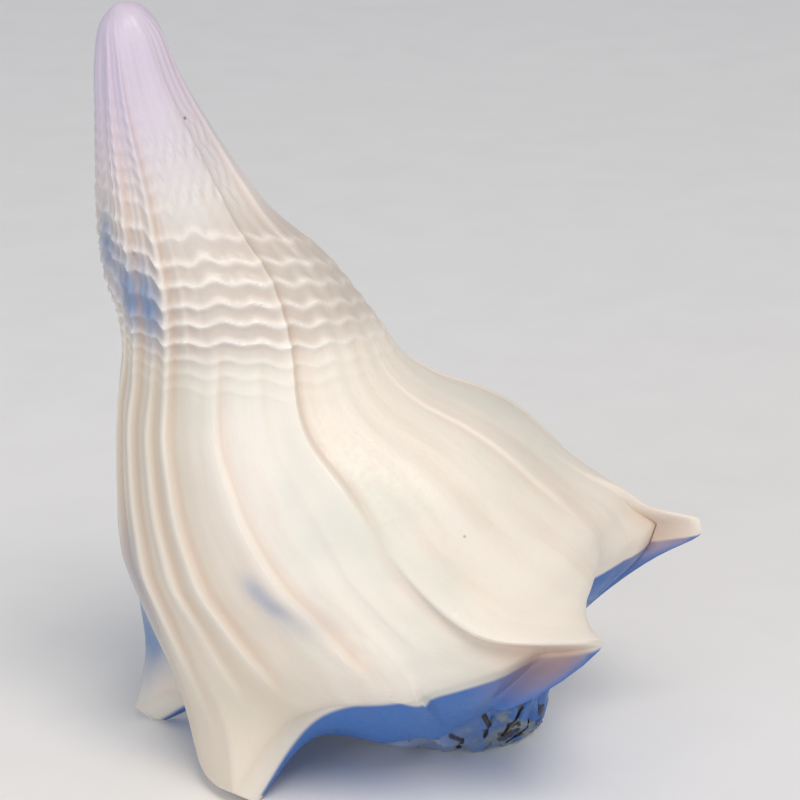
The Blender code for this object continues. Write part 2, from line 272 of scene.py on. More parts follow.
def groove_back(x):
    """How far the groove reaches back under the edge."""
    return np.interp(x, EDGE_AT, [0, 0, 0.02, 0.55, 1.0, 0.9, 0.4, 0.1, 0.0, 0.0])


def older_knobs():
    """The worn knobs of the spire, a turn and two turns back, written as low spines."""
    knobs = []
    for turn in (1, 2):
        for at, rise in KNOBS:
            knobs.append((at - 360.0 * (turn - 1), rise / turn, 0.0, 10.0, 9.0, 1.0, 0.36, 0.0))
    return tuple(knobs)


def pit_depth(line, share):
    """Depth of the worn pits at a place on the ramp."""
    depth = np.zeros(np.broadcast(line, share).shape)
    for at, middle, deep in PITS:
        depth += deep * np.exp(-(((line - at) / 5.5) ** 2) - ((share - middle) / 0.2) ** 2)
    return depth


def adorned(line, q, down):
    """Extra radius, extra height and shift in angle of spines and folds.

    line is the growth line and down the share of the way from the shoulder edge to the suture."""
    line, q, down = np.broadcast_arrays(line, q, down)
    on_body = down <= 0.0
    out = np.zeros(line.shape)
    drop = np.zeros(line.shape)
    shift = np.zeros(line.shape)
    from_edge = q - SHOULDER_Q
    wide = 0.62 * np.exp(-((from_edge / 7.0) ** 2)) + 0.38 * np.exp(-((from_edge / 18.0) ** 2))
    mouth = np.where(on_body, np.exp(-((from_edge / 11.0) ** 2)), np.exp(-((down / 0.2) ** 2)))
    size = size_at(line)
    for at, reach, droop, width, fill, share, ramp, lean in SPINES + older_knobs():
        x = line - at
        height = spine_height(x, width, fill, share)
        across = np.where(on_body, wide, np.exp(-((down / ramp) ** 2)))
        out += size * reach * across * height
        drop -= droop * mouth * height
        shift -= 9.0 * (1.0 - share) * (reach / 20.0) * mouth * groove_back(x)
        shift -= lean * np.where(on_body, np.exp(-((from_edge / 10.0) ** 2)), mouth) * height
    for at, rise, low, high, facing in FOLDS:
        x = (line - at) * -facing
        crest = np.where(x < 0.0, np.exp(-((x / 9.0) ** 2)), np.interp(x, [0.0, 1.6, 4.0], [1.0, 0.12, 0.0]))
        fade = smooth_step(low - 6.0, low + 14.0, q) * (1.0 - smooth_step(high - 25.0, high + 15.0, q))
        out += rise * crest * fade * on_body
    return out, drop, shift


def to_points(radius, height, angle, middle):
    """Points of the shell's own frame from cylinder values."""
    turn = np.radians(angle)
    radius, height, turn, middle = np.broadcast_arrays(radius, height, turn, middle)
    return np.stack([radius * np.cos(turn) + middle, radius * np.sin(turn), height], -1)


def body_points(line, q, relief=0.0):
    """Outer surface along growth lines, from the shoulder edge to the canal."""
    line, q = np.broadcast_arrays(line, q)
    angle = line + lag(line, q)
    radius, height, middle = plain(angle, q)
    out, drop, shift = adorned(line, q, 0.0)
    out = out + relief * fine_relief(line, q, 0.0)
    return to_points(radius + out, height + drop, angle + shift, middle)


def ramp_points(line, share, relief=0.0):
    """Outer surface between the suture (share 0) and the shoulder edge (share 1)."""
    line, share = np.broadcast_arrays(line, share)
    low_angle = line - 360.0 + lag(line - 360.0, BAND_Q)
    high_angle = line + lag(line, SHOULDER_Q)
    low = plain(low_angle, BAND_Q)
    high = plain(high_angle, SHOULDER_Q)
    out, drop, shift = adorned(line, SHOULDER_Q, 1.0 - share + ON_RAMP)
    out = out + relief * fine_relief(line, SHOULDER_Q, 1.0 - share + ON_RAMP)
    band_out, band_drop, band_shift = adorned(line - 360.0, BAND_Q, 0.0)
    left = (1.0 - share) ** 3
    radius = low[0] + (high[0] - low[0]) * share + out + band_out * left - pit_depth(line, share)
    sag = RAMP_SAG[0] + (RAMP_SAG[1] - RAMP_SAG[0]) * smooth_step(60.0, 125.0, line)
    height = low[1] + (high[1] - low[1]) * share**sag + drop + band_drop * left
    middle = low[2] + (high[2] - low[2]) * share
    angle = low_angle + 360.0 + (high_angle - low_angle - 360.0) * share
    return to_points(radius, height, angle + shift + band_shift * left, middle)


def posed(points):
    """The shell's own frame turned to the resting pose, in millimetres, z up."""
    roll, pitch, view = (math.radians(v) for v in (ROLL_DEG, PITCH_DEG, VIEW_DEG))
    side = (math.cos(roll), math.sin(roll), 0.0)
    front = (math.sin(roll) * math.sin(pitch), -math.cos(roll) * math.sin(pitch), math.cos(pitch))
    up = (-math.sin(roll) * math.cos(pitch), math.cos(roll) * math.cos(pitch), math.sin(pitch))
    seen = points @ np.array([side, front, up])
    tilt = np.array(
        [
            (1.0, 0.0, 0.0),
            (0.0, math.sin(view), math.cos(view)),
            (0.0, -math.cos(view), math.sin(view)),
        ]
    )
    return seen @ tilt


def growth_lines(spacing):
    """Growth lines of one turn: close together at spines and folds, evenly spread elsewhere."""
    marks = {OLD_LINE, LIP_DEG}
    for at, *_ in SPINES:
        marks.update(at + step for step in AROUND_SPINE)
    for at, *_, facing in FOLDS:
        marks.update(at - facing * step for step in AROUND_FOLD)
    kept = [OLD_LINE]
    for mark in sorted(marks):
        if mark - kept[-1] > LEAST_LINE_GAP and mark < LIP_DEG - LEAST_LINE_GAP:
            kept.append(mark)
    kept.append(LIP_DEG)
    lines = [kept[0]]
    for start, end in zip(kept, kept[1:]):
        parts = max(1, math.ceil((end - start) / spacing))
        lines += [start + (end - start) * number / parts for number in range(1, parts + 1)]
    return np.array(lines)


def shell_skin(lines, shares, heights, relief):
    """Vertices, faces and surface values of the closed outer surface, before it is hollowed.

    lines are the growth lines of one turn, shares the rows of the ramp and heights those of the body."""
    count = len(lines) - 1
    older = [lines[:-1] - 360.0 * turn for turn in range(SPIRE_TURNS - 1, -1, -1)]
    all_lines = np.concatenate(older + [lines[-1:]])
    total = len(all_lines)
    first_newest = total - count - 1
    newest = all_lines[first_newest:]
    ramp = ramp_points(all_lines[:, None], shares[None, :], relief)
    band = body_points(all_lines, BAND_Q, relief)
    inner = body_points(all_lines[:count] - 360.0, BAND_Q, relief)
    body = body_points(newest[:, None], heights[None, :], relief)
    ends = np.array([(TIP_X, 0.0, APEX_Z + CANAL_Q), (0.0, 0.0, SPIRE_END_Z)])
    points = np.concatenate([ramp.reshape(-1, 3), band, inner, body.reshape(-1, 3), ends])
    rows = len(shares)
    band_from = total * rows
    inner_from = band_from + total
    body_from = inner_from + count
    tip = body_from + len(newest) * len(heights)
    spire_end = tip + 1

    def low_edge(column):
        return inner_from + column if column < count else band_from + column - count

    def strip_column(column):
        ramp_rows = [column * rows + row for row in range(rows)]
        return [low_edge(column)] + ramp_rows + [band_from + column]

    def body_column(column):
        start = body_from + (column - first_newest) * len(heights)
        return [band_from + column] + [start + row for row in range(len(heights))] + [tip]

    faces = []

    def fill(left, right):
        for row in range(len(left) - 1):
            corners = [left[row], right[row], right[row + 1], left[row + 1]]
            corners = [corner for place, corner in enumerate(corners) if corner != corners[place - 1]]
            if len(corners) > 2:
                faces.append(tuple(corners))

    for column in range(total - 1):
        fill(strip_column(column), strip_column(column + 1))
    for column in range(first_newest, total - 1):
        fill(body_column(column), body_column(column + 1))
    fill(body_column(total - 1), body_column(first_newest))
    lip = strip_column(total - 1)
    for row in range(1, len(lip) - 1):
        faces.append((lip[0], lip[row + 1], lip[row]))
    rim = [low_edge(column) for column in range(count + 1)] + strip_column(0)[-2:0:-1]
    for place, corner in enumerate(rim):
        faces.append((spire_end, rim[(place + 1) % len(rim)], corner))
    return points, faces, surface_values(*skin_places(all_lines, shares, newest, heights))


def skin_places(all_lines, shares, newest, heights):
    """Growth line, height q and share down the ramp of each point, in the order of shell_skin."""
    inner = all_lines[: len(newest) - 1] - 360.0
    grids = (
        np.broadcast_arrays(all_lines[:, None], SHOULDER_Q, 1.0 - shares[None, :] + ON_RAMP),
        np.broadcast_arrays(all_lines, BAND_Q, np.where(all_lines < OLD_LINE, 1.0, 0.0)),
        np.broadcast_arrays(inner, BAND_Q, 1.0),
        np.broadcast_arrays(newest[:, None], heights[None, :], 0.0),
        (np.array([0.0, 0.0]), np.array([CANAL_Q, 0.0]), np.array([0.0, 1.0])),
    )
    line, q, down = (np.concatenate([np.ravel(grid[part]) for grid in grids]) for part in range(3))
    return line, q, np.where((line < OLD_LINE) & (down > 0.0), np.maximum(down, OLDER_EDGE), down)


def surface_values(line, q, down):
    """Values of the outer surface that its material reads, each from 0 to 1 except growth."""
    groove = 0.0 * line
    crest = 0.0 * line
    on_body = down <= 0.0
    from_edge = q - SHOULDER_Q
    mouth = np.where(on_body, np.exp(-((from_edge / 11.0) ** 2)), np.exp(-((down / 0.2) ** 2)))
    for at, reach, _, width, fill, share, _, _ in SPINES:
        x = line - at
        hollow = np.interp(x, [0.4, 1.3, 4.0, 8.0, 13.0], [0.0, 1.0, 0.9, 0.3, 0.0])
        rise = spine_height(np.minimum(x, 0.0), width, fill, share) * (x <= 0.8)
        # Groove behind each spine: partly the inner layer's tan, partly painted shade in the hollow.
        groove = groove + 1.3 * mouth * hollow * (1.0 - share) * reach / 22.0
        # Painted highlight along the spine's rising edge.
        crest = crest + mouth * rise * reach / 24.0
    for at, rise, low, high, facing in FOLDS + NARROW_FOLDS:
        x = (line - at) * -facing
        fade = window(q, low, low + 14.0, high - 20.0, high + 12.0) * on_body
        strength = min(rise, 1.0)
        hollow = np.interp(x, [0.6, 1.6, 3.4, 5.0], [0.0, 1.0, 0.5, 0.0])
        # Painted highlight along the crest of each fold.
        crest = crest + 0.7 * strength * np.exp(-((x / 2.6) ** 2)) * (x <= 0.6) * fade
        # Painted crease shade at the foot of each fold step.
        groove = groove + 0.32 * strength * hollow * fade
    # Bluish patches, partly real stains and partly painted shade.
    stain_and_shade = 0.0 * line
    for at, level, along_line, along_q, strength in STAINS_AND_SHADE:
        spot = np.exp(-(((line - at) / along_line) ** 2) - (((q - level) / along_q) ** 2))
        stain_and_shade = stain_and_shade + strength * spot * on_body
    crack = crack_depth(line, 1.0 - down) * (~on_body)
    older = older_shell(line) * (~on_body)
    away = (line - WORN_LINE + 180.0) % 360.0 - 180.0
    worn = older * (0.25 + 0.75 * np.exp(-((away / 48.0) ** 2)))
    return {
        "growth": line / 360.0,
        "height": q / CANAL_Q,
        "down": np.clip(down, 0.0, 1.0),
        # Where the tan and painted hollow shade lie.
        "groove": np.clip(groove, 0.0, 1.0),
        # Where the painted highlights of spines and folds lie.
        "crest": np.clip(crest, 0.0, 1.0),
        # Where the painted highlights of the cord crests lie, and the band of painted shade between cords.
        "cord_highlight_mask": np.clip(1.3 * cord_height(line, q) * on_body, 0.0, 1.0),
        "cord_shade_band": on_body * window(q, 171.0, 181.0, 196.0, 206.0),
        # The pleated left side, where the darker sand with its painted side shade lies.
        "pleated": on_body * smooth_step(116.0, 150.0, line),
        "stain_and_shade": np.clip(stain_and_shade, 0.0, 1.0),
        "crack": np.clip(crack, 0.0, 1.0),
        "worn": np.clip(worn, 0.0, 1.0),
        # Where the ramp's painted blue shade is full: the side toward the camera.
        "front": smooth_step(-40.0, 10.0, line) + older * np.exp(-((away / 80.0) ** 2)),
    }


def hollow_loop(line, number):
    """One section of the hollow between the last turn's wall and the turn before it."""
    back = LIP_DEG - line
    top = CAVITY_TOP_Q - (CAVITY_TOP_Q - CAVITY_BACK_TOP_Q) * smooth_step(45.0, 150.0, back)
    share = np.linspace(0.0, 1.0, number)
    outer_q = CAVITY_LOW_OUTER_Q + (top - CAVITY_LOW_OUTER_Q) * share
    outer_angle = line + lag(line, outer_q)
    radius, height, middle = plain(outer_angle, outer_q)
    outer = radius - WALL - 2.0 * (1.0 - smooth_step(0.0, 0.12, share))
    inner_q = CAVITY_LOW_INNER_Q + (top - CAVITY_LOW_INNER_Q) * share
    inner_angle = line + lag(line, inner_q)
    inner_radius, inner_height, inner_middle = plain(inner_angle - 360.0, inner_q)
    near_lip = smooth_step(25.0, 0.0, back)
    rod = 0.30 + 0.70 * (1.0 - smooth_step(130.0, 176.0, inner_q))
    inner = inner_radius * rod - 0.6
    inner = inner + (1.0 - near_lip) * 1.2
    past = np.maximum(-back, 0.0)
    open_out = smooth_step(0.0, 4.0, past)
    outer = outer + open_out * (WALL + 3.0)
    outer_points = to_points(outer, height, outer_angle, middle)
    inner_points = to_points(np.maximum(inner, 1.0), inner_height, inner_angle, inner_middle)
    narrow = 0.3 + 0.7 * math.sqrt(smooth_step(0.0, 60.0, HOLLOW_TURN_DEG - back))
    mean = 0.5 * (outer_points + inner_points)
    loop = np.concatenate([outer_points, inner_points[::-1]])
    return np.concatenate([mean, mean[::-1]]) * (1.0 - narrow) + loop * narrow


def hollow_skin(sections, number):
    """Vertices and faces of the closed solid that is cut away to hollow the shell."""
    within = np.linspace(LIP_DEG - HOLLOW_TURN_DEG, LIP_DEG, sections)
    past = LIP_DEG + np.array(HOLLOW_PAST_LIP)
    loops = [hollow_loop(line, number) for line in np.concatenate([within, past])]
    size = len(loops[0])
    faces = []
    for loop in range(len(loops) - 1):
        for corner in range(size):
            following = (corner + 1) % size
            here, there = loop * size, (loop + 1) * size
            faces.append((here + corner, here + following, there + following, there + corner))
    end = (len(loops) - 1) * size
    for corner in range(size // 2 - 1):
        across = size - 1 - corner
        faces.append((corner, corner + 1, across - 1, across)[::-1])
        faces.append((end + corner, end + corner + 1, end + across - 1, end + across))
    return np.concatenate(loops), faces


# Fine relief and the places of colours on the surface.

# Spiral cords: height q of each crest where the newest growth faces the front, and its rise.
CORDS = (
    (223.0, 0.10),
    (219.8, 0.16),
    (216.8, 0.20),
    (213.9, 0.24),
    (211.1, 0.28),
    (208.3, 0.30),
    (205.0, 0.36),
    (200.4, 0.55),
    (196.0, 0.70),
    (192.2, 0.75),
    (188.2, 0.75),
    (184.5, 0.75),
    (180.4, 0.80),
    (176.4, 0.42),
    (172.8, 0.26),
    (169.3, 0.16),
)
CORD_HALF_WIDTH = 0.72

# Narrow growth folds of the newest part: growth line, height, fade below q, fade above q, and
# the side their step faces.
NARROW_FOLDS = (
    (72.0, 0.25, 100.0, 150.0, -1),
    (83.6, 0.55, 96.0, 138.0, -1),
    (86.2, 0.50, 122.0, 180.0, 1),
    (97.0, 0.35, 96.0, 150.0, -1),
    (127.0, 0.35, 172.0, 206.0, 1),
    (134.0, 0.40, 168.0, 206.0, 1),
    (143.0, 0.55, 104.0, 206.0, 1),
    (152.0, 0.55, 112.0, 206.0, 1),
    (157.5, 0.25, 130.0, 214.0, 1),
    (163.5, 0.65, 104.0, 214.0, 1),
    (171.0, 0.60, 104.0, 224.0, 1),
    (178.5, 0.60, 104.0, 206.0, 1),
    (184.5, 0.50, 96.0, 214.0, 1),
    (190.5, 0.45, 96.0, 196.0, 1),
    (197.0, 0.50, 96.0, 206.0, 1),
    (205.0, 0.50, 96.0, 196.0, 1),
    (213.0, 0.45, 96.0, 206.0, 1),
)

# Bluish patches, partly real stains and partly painted shade on the left side turned from the light: growth
# line, height q, reach in degrees, reach in q, strength.
STAINS_AND_SHADE = (
    (126.0, 127.5, 3.6, 3.4, 0.50),
    (125.0, 122.5, 3.6, 3.0, 0.46),
    (123.0, 117.5, 7.0, 3.4, 0.16),
    (190.0, 196.0, 11.0, 8.0, 0.75),
    (166.0, 189.0, 13.0, 8.0, 0.95),
    (173.0, 122.0, 5.0, 11.0, 0.75),
    (185.0, 109.0, 7.0, 8.0, 0.85),
    (192.0, 102.0, 8.0, 6.0, 0.75),
    (198.0, 103.0, 8.0, 8.0, 0.85),
    (152.0, 186.0, 6.0, 7.0, 0.60),
    (203.0, 178.0, 9.0, 12.0, 0.35),
)

# Cracks of the worn spire: growth line and share of the ramp at both ends, half width in
# millimetres and depth in millimetres.
CRACKS = (
    ((-309.0, 0.92), (-296.0, 0.73), 0.55, 1.3),
    ((-296.0, 0.73), (-284.0, 0.52), 0.70, 1.5),
    ((-284.0, 0.52), (-276.0, 0.34), 0.45, 0.9),
    ((-304.0, 0.26), (-287.0, 0.15), 0.60, 1.1),
    ((-287.0, 0.15), (-276.0, 0.12), 0.45, 0.9),
    ((-275.0, 0.88), (-263.0, 0.50), 0.50, 0.9),
    ((-252.0, 0.70), (-240.0, 0.35), 0.45, 0.7),
    ((-325.0, 0.80), (-318.0, 0.40), 0.50, 0.8),
    ((-347.0, 0.70), (-335.0, 0.30), 0.50, 0.9),
    ((66.0, 0.06), (92.0, 0.05), 0.55, 0.9),
    ((-170.0, 0.30), (-158.0, 0.60), 0.45, 0.7),
    ((-215.0, 0.55), (-200.0, 0.20), 0.50, 0.8),
)

# Millimetres of the worn spire's surface for a degree of growth line and for the whole ramp.
CRACK_STEP_MM = 0.36
CRACK_RAMP_MM = 16.0

# Growth line where the worn spire faces the front, and the share down the ramp that its
# shoulder edge counts as, so that the edge takes the ramp's painted blue shade too.
WORN_LINE = -660.0
OLDER_EDGE = 0.3

# Waves that the relief is mixed from: the range of their pace and of their start, in radians.
WAVE_PACE = (0.5, 1.6)
WAVE_START = (0.0, 6.283)

# Rows of the body, as heights q: its first and last row, and between which two the cords run.
BODY_FIRST_Q = 92.6
CORDS_Q = (166.0, 224.0)
BODY_LAST_Q = CANAL_Q - 0.4


def waves(x, y, seed, count=7):
    """An even mix of waves over a surface, between about -1 and 1, the same each run."""
    random = np.random.default_rng(seed)
    total = 0.0 * x * y
    for _ in range(count):
        across = random.uniform(*WAVE_PACE)
        along_it = random.uniform(*WAVE_PACE)
        start = random.uniform(*WAVE_START)
        side = random.choice((-1.0, 1.0))
        total = total + np.sin(across * x + side * along_it * y + start)
    return total / math.sqrt(2.0 * count) * 1.1


def cord_height(line, q):
    """Rise of the wavy spiral cords in millimetres: sharp crests between wide hollows."""
    older = np.maximum(115.0 - line, 0.0)
    tilt = 0.09 * older * smooth_step(0.0, 12.0, older) * smooth_step(-60.0, 40.0, line)
    lift = 0.11 * np.clip(line - 138.0, 0.0, 30.0) * smooth_step(183.0, 194.0, q)
    steps = 0.40 * np.sin(line * 0.36 + 0.5) + 0.30 * waves(line / 9.0, q / 12.0, 4)
    level = q + tilt - lift + steps
    front = 0.45 + 0.55 * smooth_step(35.0, 75.0, line)
    left = smooth_step(118.0, 140.0, line)
    total = 0.0 * level
    for at, rise in CORDS:
        away = np.abs(level - at) / CORD_HALF_WIDTH
        crest = np.exp(-(away**1.25)) - 0.16 * np.exp(-(((away - 2.0) / 1.1) ** 2))
        share = front if at < 203.0 else left
        total = total + 1.1 * rise * crest * share
    broken = 0.92 + 0.14 * waves(line / 4.0, q / 4.0, 9)
    return total * broken


def crack_depth(line, share):
    """Depth of the cracks at a place on the ramp, in millimetres."""
    line, share = np.broadcast_arrays(line, share)
    wander = 0.5 * waves(line / 1.6, share * 9.0, 31)
    total = np.zeros(line.shape)
    for start, end, half_width, depth in CRACKS:
        first = np.array((start[0] * CRACK_STEP_MM, start[1] * CRACK_RAMP_MM))
        last = np.array((end[0] * CRACK_STEP_MM, end[1] * CRACK_RAMP_MM))
        course = last - first
        x = line * CRACK_STEP_MM - first[0]
        y = share * CRACK_RAMP_MM - first[1]
        place = np.clip((x * course[0] + y * course[1]) / (course @ course), 0.0, 1.0)
        away = np.hypot(x - place * course[0], y - place * course[1]) + wander * half_width
        total = np.maximum(total, depth * np.exp(-((away / half_width) ** 2)))
    return total


def row_heights(rows):
    """Heights of the body's rows: close together where the cords run, wider apart elsewhere."""
    shares = np.array((0.0, 0.28, 0.93, 1.0))
    return np.interp(np.linspace(0.0, 1.0, rows), shares, (BODY_FIRST_Q, *CORDS_Q, BODY_LAST_Q))


def older_shell(line):
    """One on the worn turns of the spire, zero on the last turn."""
    return smooth_step(OLD_LINE + 60.0, OLD_LINE - 60.0, line)


def worn_relief(line, down, body_relief):
    """Relief of the ramp in millimetres: what the body's leaves, worn lumps, rings and cracks."""
    rough = 0.45 * waves(line / 5.0, down * 7.0, 51) + 0.3 * waves(line / 2.2, down * 14.0, 52)
    rings = 0.14 * waves(line / 1.5 + 6.0 * down, down * 4.0, 53)
    kept = 0.35 * body_relief * (1.0 - down)
    return kept + older_shell(line) * rough + rings - crack_depth(line, 1.0 - down)


def fine_relief(line, q, down):
    """Small relief of the outer surface in millimetres, on top of spines and folds."""
    line, q, down = np.broadcast_arrays(line, q, down)
    out = cord_height(line, q)
    for at, rise, low, high, facing in NARROW_FOLDS:
        x = (line - at) * -facing - 0.8 * waves(q / 18.0, line / 60.0, int(at))
        step = np.interp(x, [0.0, 1.2, 2.6], [1.0, 0.15, 0.0])
        fold = np.where(x < 0.0, np.exp(-((x / 3.0) ** 2)), step)
        out = out + rise * fold * window(q, low, low + 16.0, high - 20.0, high + 12.0)
    # Wrinkles where the canal starts, and beside the step of the fold at 119.5 degrees.
    wrinkled = window(line, 48.0, 70.0, 128.0, 140.0) * window(q, 199.0, 204.0, 214.0, 222.0)
    out = out + 0.22 * wrinkled * waves(line / 1.9, q / 0.8, 41)
    near_edge = window(line, 110.0, 114.0, 121.0, 126.0) * window(q, 103.0, 106.0, 113.0, 118.0)
    out = out + 0.18 * near_edge * waves(line / 1.3, q / 1.1, 43)
    # Growth lines 1 to 3 mm apart, and soft lumps about 15 mm across.
    steps = waves(line / 2.2, q / 60.0, 21) * 0.08 + waves(line / 5.5, q / 90.0, 22) * 0.18
    lumps = waves(line / 14.0, q / 11.0, 23) * 0.3
    out = out + steps + lumps * smooth_step(90.0, 104.0, q)
    out = np.where(down <= 0.0, out, worn_relief(line, down, out))
    return out * smooth_step(CANAL_Q, CANAL_Q - 12.0, q)


# Settings that a user can change in the sidebar.


class ShellSizes(bpy.types.PropertyGroup):
    """Sizes of the fine surface that a user would change."""

    line_step: bpy.props.FloatProperty(
        name="Line step", description="Most degrees between two growth lines", default=1.45, min=0.8, max=4.0
    )
    rows: bpy.props.IntProperty(
        name="Rows", description="Rows from the shoulder to the canal tip", default=196, min=60, max=220
    )
    relief: bpy.props.FloatProperty(
        name="Fine relief", description="Share of the cords, lines and lumps", default=1.0, min=0.0, max=2.0
    )


class ShellColours(bpy.types.PropertyGroup):
    """Colours of the bleached shell."""

    cream: bpy.props.StringProperty(name="Cream", description="Main bleached colour", default="#F4ECDF")
    blush: bpy.props.StringProperty(name="Blush", description="Pinkish growth bands", default="#EADBCB")
    grey: bpy.props.StringProperty(name="Grey", description="Greenish grey tint", default="#D8DCCF")
    # Darker sand over the pleated left side: partly its own tone, partly painted shade of the side turned
    # from the key light.
    sand_and_side_shade: bpy.props.StringProperty(name="Sand", description="Pleats of the newest part", default="#D3C3AA")
    # Painted shade between the spiral cords, laid over the band where they run.
    cord_trough_shade: bpy.props.StringProperty(name="Trough", description="Between the spiral cords", default="#C8BBB1")
    # Painted highlight on the crests of the spiral cords.
    cord_crest_highlight: bpy.props.StringProperty(name="Chalk", description="Crests of the cords", default="#FBF5EC")
    lining: bpy.props.StringProperty(name="Lining", description="Inside of the shell", default="#E2B797")
    lilac: bpy.props.StringProperty(name="Lilac", description="Canal tip", default="#D0C4DA")
    # Tan of the grooves behind the spines, partly the inner layer's own colour and partly painted shade in
    # those hollows and in the fold creases.
    tan: bpy.props.StringProperty(name="Tan", description="Grooves behind spines", default="#CBA58A")
    # Painted blue shade for the ramp that lies under the shoulder, in place of sky-lit shadow.
    ramp_blue_shade: bpy.props.StringProperty(name="Slate", description="Ramp", default="#3B70B8")
    # Bluish patches: partly real stains, partly painted shade on the left side.
    stain_and_shade: bpy.props.StringProperty(name="Stain", description="Bluish stains", default="#6C8AB2")
    moss: bpy.props.StringProperty(
        name="Moss", description="Yellow-green tint of the worn spire", default="#A9A878"
    )
    soot: bpy.props.StringProperty(name="Soot", description="Cracks and worn pits", default="#3A2A22")


class StageSettings(bpy.types.PropertyGroup):
    """Light and camera of the studio."""

    distance: bpy.props.FloatProperty(
        name="Distance", description="Camera to the shell's axis", default=0.752, unit="LENGTH"
    )
    key_power: bpy.props.FloatProperty(
        name="Key", description="Power of the warm light in watts", default=13.2
    )
    fill_power: bpy.props.FloatProperty(
        name="Fill", description="Power of the cool light in watts", default=5.6
    )


# Materials. The shell's mineral bends light by ARAGONITE_IOR.

ARAGONITE_IOR = 1.53


def linear_colour(text):
    """An sRGB hex colour as linear red, green, blue and alpha."""
    values = [int(text[place : place + 2], 16) / 255.0 for place in (1, 3, 5)]
    return [v / 12.92 if v <= 0.04045 else ((v + 0.055) / 1.055) ** 2.4 for v in values] + [1.0]


def add_node(tree, kind, settings=None, links=None):
    """A node of a kind with its settings, and its inputs set to values or linked to sockets."""
    node = tree.nodes.new(kind)
    for name, value in (settings or {}).items():
        setattr(node, name, value)
    for name, value in (links or {}).items():
        if isinstance(value, bpy.types.NodeSocket):
            tree.links.new(value, node.inputs[name])
        else:
            node.inputs[name].default_value = value
    return node


def ramp_between(tree, value, low, high, smooth=True, ends=(0.0, 1.0)):
    """A socket that goes from the first end at low to the second end at high."""
    kind = "SMOOTHSTEP" if smooth else "LINEAR"
    links = {"Value": value, "From Min": low, "From Max": high, "To Min": ends[0], "To Max": ends[1]}
    return add_node(tree, "ShaderNodeMapRange", {"interpolation_type": kind}, links).outputs["Result"]


def calculate(tree, operation, first, second):
    """A socket with the result of a sum on two values."""
    return add_node(tree, "ShaderNodeMath", {"operation": operation}, {0: first, 1: second}).outputs[0]


def blend_colour(tree, share, first, second):
    """A socket with two colours mixed."""
    node = add_node(tree, "ShaderNodeMix", {"data_type": "RGBA"})
    for place, value in ((0, share), (6, first), (7, second)):
        if isinstance(value, bpy.types.NodeSocket):
            tree.links.new(value, node.inputs[place])
        else:
            node.inputs[place].default_value = value
    return node.outputs[2]


def attribute(tree, name):
    """A socket that reads one value of the surface."""
    return add_node(tree, "ShaderNodeAttribute", {"attribute_name": name}).outputs["Fac"]


def noise(tree, where, scale, detail):
    """A socket with even noise over the object, its features about 1 / scale metres apart."""
    links = {"Vector": where, "Scale": scale, "Detail": detail}
    return add_node(tree, "ShaderNodeTexNoise", {}, links).outputs["Fac"]


def bump(tree, height, strength, distance, normal=None):
    """A socket with the normal tilted by a height, on top of another normal."""
    links = {"Height": height, "Strength": strength, "Distance": distance}
    if normal is not None:
        links["Normal"] = normal
    return add_node(tree, "ShaderNodeBump", {}, links).outputs["Normal"]


def new_material(name):
    """A material with its node tree, its shader and a socket with the place on the object."""
    material = bpy.data.materials.new(name)
    material.use_nodes = True
    tree = material.node_tree
    where = add_node(tree, "ShaderNodeTexCoord").outputs["Object"]
    return material, tree, tree.nodes["Principled BSDF"], where


def growth_bands(tree):
    """Narrow stripes along the growth lines, 1 to 4 mm wide on the real shell."""
    links = {"X": attribute(tree, "growth"), "Y": attribute(tree, "height")}
    place = add_node(tree, "ShaderNodeCombineXYZ", {}, links).outputs["Vector"]
    links = {"Vector": place, "Scale": (26.0, 3.0, 1.0)}
    stretched = add_node(tree, "ShaderNodeMapping", {}, links).outputs["Vector"]
    links = {"Vector": stretched, "Scale": 1.0, "Detail": 5.0, "Roughness": 0.6}
    return add_node(tree, "ShaderNodeTexNoise", {}, links).outputs["Fac"]


def ramp_shade_places(tree, clouds):
    """Where the ramp takes its painted blue shade: all of it on the side toward the camera, less of it on the
    side turned away, in patches.
    """
    edge = ramp_between(tree, attribute(tree, "down"), 0.012, 0.05)
    reach = ramp_between(tree, attribute(tree, "front"), -0.9, 1.0, False)
    share = calculate(tree, "MULTIPLY", edge, reach)
    return calculate(tree, "MULTIPLY", share, ramp_between(tree, clouds, -0.6, 0.45))


def moss_places(tree, where):
    """Where the worn spire has a yellow-green tint: patches about 8 mm across."""
    patches = ramp_between(tree, noise(tree, where, 120.0, 4.0), 0.5, 0.6)
    return calculate(tree, "MULTIPLY", patches, attribute(tree, "worn"))


def soot_places(tree, where):
    """Where dark dirt lies: in the cracks and in small pits of the worn spire."""
    pits = ramp_between(tree, noise(tree, where, 260.0, 5.0), 0.58, 0.66)
    pits = calculate(tree, "MULTIPLY", pits, attribute(tree, "worn"))
    return calculate(tree, "MAXIMUM", pits, ramp_between(tree, attribute(tree, "crack"), 0.25, 0.6))


def speck_places(tree, where):
    """Where single dark specks under 1 mm lie, about 18 mm apart."""
    settings = {"feature": "F1"}
    links = {"Vector": where, "Scale": 55.0}
    away = add_node(tree, "ShaderNodeTexVoronoi", settings, links).outputs["Distance"]
    return ramp_between(tree, away, 0.035, 0.015)


